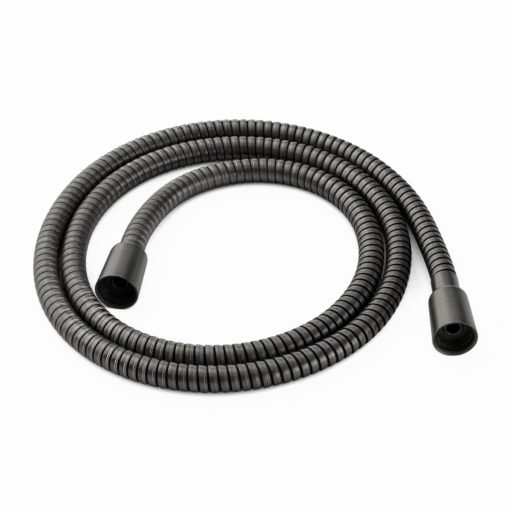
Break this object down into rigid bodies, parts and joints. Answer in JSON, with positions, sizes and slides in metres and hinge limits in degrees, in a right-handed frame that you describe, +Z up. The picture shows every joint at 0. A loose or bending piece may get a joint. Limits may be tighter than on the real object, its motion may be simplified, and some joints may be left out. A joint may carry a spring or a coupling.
{
  "type": "shower hose",
  "caption": "Flexible metal shower hose lying in a loose spiral, with a conical swivel nut on each end for a half-inch parallel pipe thread.",
  "frame": {"origin": "on the surface that the hose lies on, under the middle of the whole object", "axes": "+Z up, through the flat side of the spiral; both nuts' mouths face about -Y, the outer end's nut on the +X side and the inner end's nut inside the spiral on the -X side"},
  "size_m": [0.2324, 0.2238, 0.0234],
  "materials": {
    "casing_steel": "satin gunmetal",
    "liner_rubber": "matt black",
    "nut_metal": "satin gunmetal plating",
    "core_metal": "plain turned, nickel plated",
    "washer_rubber": "matt black",
    "slip_ring_nylon": "natural white",
    "ferrule_metal": "satin gunmetal plating"
  },
  "bodies": {
    "hose": {"outer_casing": "casing_steel", "inner_liner": "liner_rubber", "outer_end_core": "core_metal", "outer_end_washer": "washer_rubber", "outer_end_slip_ring": "slip_ring_nylon", "outer_end_sleeve": "core_metal", "outer_end_ferrule": "ferrule_metal", "inner_end_core": "core_metal", "inner_end_washer": "washer_rubber", "inner_end_slip_ring": "slip_ring_nylon", "inner_end_sleeve": "core_metal", "inner_end_ferrule": "ferrule_metal"},
    "outer_nut": {"outer_end_nut": "nut_metal"},
    "inner_nut": {"inner_end_nut": "nut_metal"}
  },
  "joints": [
    {"name": "outer_nut_spin", "type": "hinge", "parent": "hose", "child": "outer_nut", "pos_m": [0.10456, -0.08103, 0.0117], "axis": [0.0384, -0.9993, 0], "continuous": true},
    {"name": "inner_nut_spin", "type": "hinge", "parent": "hose", "child": "inner_nut", "pos_m": [-0.06944, -0.04523, 0.0117], "axis": [-0.165, -0.9863, 0], "continuous": true}
  ]
}
